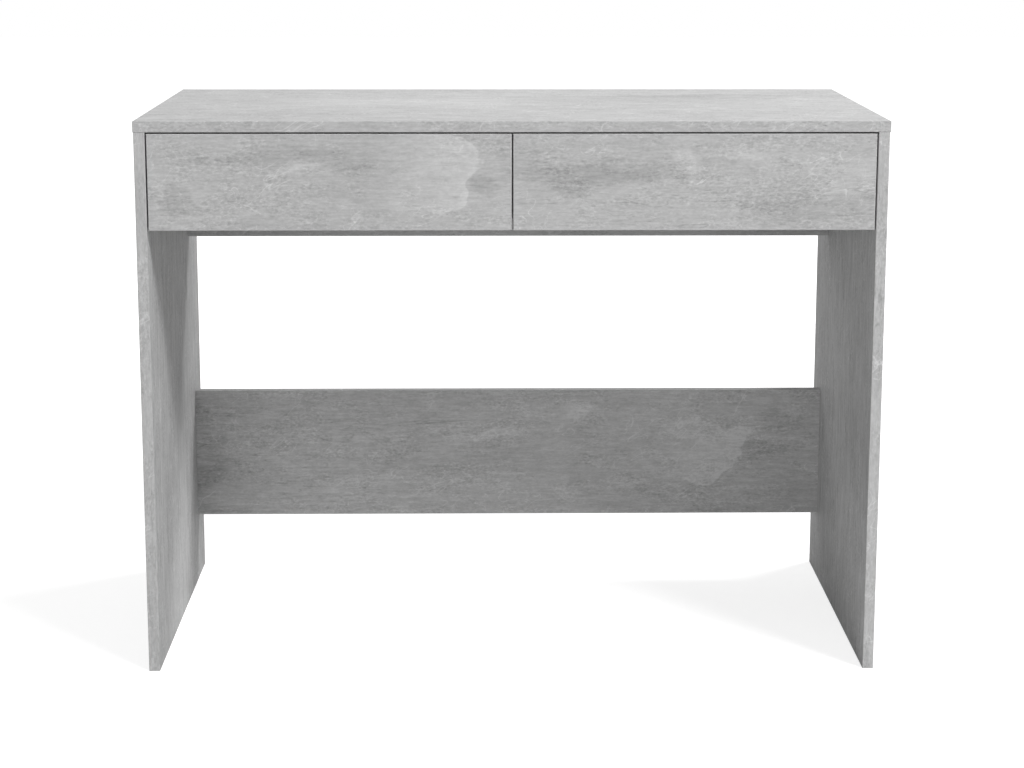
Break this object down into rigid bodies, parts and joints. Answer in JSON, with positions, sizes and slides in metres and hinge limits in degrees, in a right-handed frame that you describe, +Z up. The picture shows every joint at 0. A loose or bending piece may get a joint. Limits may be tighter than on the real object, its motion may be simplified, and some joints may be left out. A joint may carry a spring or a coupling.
{
  "type": "writing desk",
  "caption": "Board desk with slab sides, a thin top, a rear rail under it, a low brace between the legs and handleless inset drawers side by side on roller runners.",
  "frame": {"origin": "on the floor, under the middle of the desk", "axes": "+X to the right of a person who faces the drawers, +Y to the back edge, +Z up; the drawers pull out along -Y"},
  "size_m": [1.01, 0.5, 0.765],
  "materials": {
    "concrete_laminate": "matt grey concrete-look melamine face with fine streaks and cloudy blotches",
    "edge_band": "matt grey edge strip in the same decor",
    "drawer_foil": "plain light grey foil on particle board",
    "hardboard": "grey lacquered hardboard",
    "beech": "raw beech",
    "zinc_casting": "dull zinc casting",
    "zinc_plated_steel": "bright zinc plating",
    "runner_coat": "white powder coat",
    "nylon": "white nylon",
    "cap_plastic": "grey plastic"
  },
  "bodies": {
    "root": {"desk_top": "concrete_laminate", "desk_top_edging": "edge_band", "left_side_panel": "concrete_laminate", "left_side_edging": "edge_band", "right_side_panel": "concrete_laminate", "right_side_edging": "edge_band", "centre_partition": "concrete_laminate", "partition_edging": "edge_band", "rear_apron": "concrete_laminate", "apron_edging": "edge_band", "lower_brace": "concrete_laminate", "brace_edging": "edge_band", "cam_bolts": "zinc_plated_steel", "cam_housings": "zinc_casting", "cam_caps": "cap_plastic", "wooden_dowels": "beech", "confirmat_screws": "zinc_plated_steel", "cabinet_roller_pins": "zinc_plated_steel", "cabinet_runner_screws": "zinc_plated_steel", "left_outer_cabinet_runner": "runner_coat", "left_inner_cabinet_runner": "runner_coat", "right_outer_cabinet_runner": "runner_coat", "right_inner_cabinet_runner": "runner_coat"},
    "left_drawer": {"left_drawer_front": "concrete_laminate", "left_front_edging": "edge_band", "left_drawer_inner_side": "drawer_foil", "left_drawer_outer_side": "drawer_foil", "left_drawer_back": "drawer_foil", "left_drawer_bottom": "hardboard", "left_drawer_cams": "zinc_casting", "left_drawer_bolts": "zinc_plated_steel", "left_drawer_dowels": "beech", "left_drawer_screws": "zinc_plated_steel", "left_drawer_roller_pins": "zinc_plated_steel", "left_inner_drawer_runner": "runner_coat", "left_outer_drawer_runner": "runner_coat"},
    "right_drawer": {"right_drawer_front": "concrete_laminate", "right_front_edging": "edge_band", "right_drawer_inner_side": "drawer_foil", "right_drawer_outer_side": "drawer_foil", "right_drawer_back": "drawer_foil", "right_drawer_bottom": "hardboard", "right_drawer_cams": "zinc_casting", "right_drawer_bolts": "zinc_plated_steel", "right_drawer_dowels": "beech", "right_drawer_screws": "zinc_plated_steel", "right_drawer_roller_pins": "zinc_plated_steel", "right_inner_drawer_runner": "runner_coat", "right_outer_drawer_runner": "runner_coat"},
    "left_outer_front_roller": {"left_outer_front_roller": "nylon"},
    "left_outer_rear_roller": {"left_outer_rear_roller": "nylon"},
    "left_inner_front_roller": {"left_inner_front_roller": "nylon"},
    "left_inner_rear_roller": {"left_inner_rear_roller": "nylon"},
    "right_outer_front_roller": {"right_outer_front_roller": "nylon"},
    "right_outer_rear_roller": {"right_outer_rear_roller": "nylon"},
    "right_inner_front_roller": {"right_inner_front_roller": "nylon"},
    "right_inner_rear_roller": {"right_inner_rear_roller": "nylon"}
  },
  "joints": [
    {"name": "left_drawer_slide", "type": "slide", "parent": "root", "child": "left_drawer", "axis": [0, -1, 0], "range_m": [0, 0.26]},
    {"name": "right_drawer_slide", "type": "slide", "parent": "root", "child": "right_drawer", "axis": [0, -1, 0], "range_m": [0, 0.26]},
    {"name": "left_outer_front_roller_spin", "type": "hinge", "parent": "root", "child": "left_outer_front_roller", "pos_m": [-0.4827, -0.221, 0.6467], "axis": [1, 0, 0], "continuous": true},
    {"name": "left_outer_rear_roller_spin", "type": "hinge", "parent": "left_drawer", "child": "left_outer_rear_roller", "pos_m": [-0.4827, 0.103, 0.6467], "axis": [1, 0, 0], "continuous": true},
    {"name": "left_inner_front_roller_spin", "type": "hinge", "parent": "root", "child": "left_inner_front_roller", "pos_m": [-0.0138, -0.221, 0.6467], "axis": [1, 0, 0], "continuous": true},
    {"name": "left_inner_rear_roller_spin", "type": "hinge", "parent": "left_drawer", "child": "left_inner_rear_roller", "pos_m": [-0.0138, 0.103, 0.6467], "axis": [1, 0, 0], "continuous": true},
    {"name": "right_outer_front_roller_spin", "type": "hinge", "parent": "root", "child": "right_outer_front_roller", "pos_m": [0.4827, -0.221, 0.6467], "axis": [1, 0, 0], "continuous": true},
    {"name": "right_outer_rear_roller_spin", "type": "hinge", "parent": "right_drawer", "child": "right_outer_rear_roller", "pos_m": [0.4827, 0.103, 0.6467], "axis": [1, 0, 0], "continuous": true},
    {"name": "right_inner_front_roller_spin", "type": "hinge", "parent": "root", "child": "right_inner_front_roller", "pos_m": [0.0138, -0.221, 0.6467], "axis": [1, 0, 0], "continuous": true},
    {"name": "right_inner_rear_roller_spin", "type": "hinge", "parent": "right_drawer", "child": "right_inner_rear_roller", "pos_m": [0.0138, 0.103, 0.6467], "axis": [1, 0, 0], "continuous": true}
  ],
  "couplings": [
    {"joint": "left_outer_front_roller_spin", "follows": "left_drawer_slide", "rad_per_m": 111.11},
    {"joint": "left_outer_rear_roller_spin", "follows": "left_drawer_slide", "rad_per_m": 111.11},
    {"joint": "left_inner_front_roller_spin", "follows": "left_drawer_slide", "rad_per_m": 111.11},
    {"joint": "left_inner_rear_roller_spin", "follows": "left_drawer_slide", "rad_per_m": 111.11},
    {"joint": "right_outer_front_roller_spin", "follows": "right_drawer_slide", "rad_per_m": 111.11},
    {"joint": "right_outer_rear_roller_spin", "follows": "right_drawer_slide", "rad_per_m": 111.11},
    {"joint": "right_inner_front_roller_spin", "follows": "right_drawer_slide", "rad_per_m": 111.11},
    {"joint": "right_inner_rear_roller_spin", "follows": "right_drawer_slide", "rad_per_m": 111.11}
  ]
}
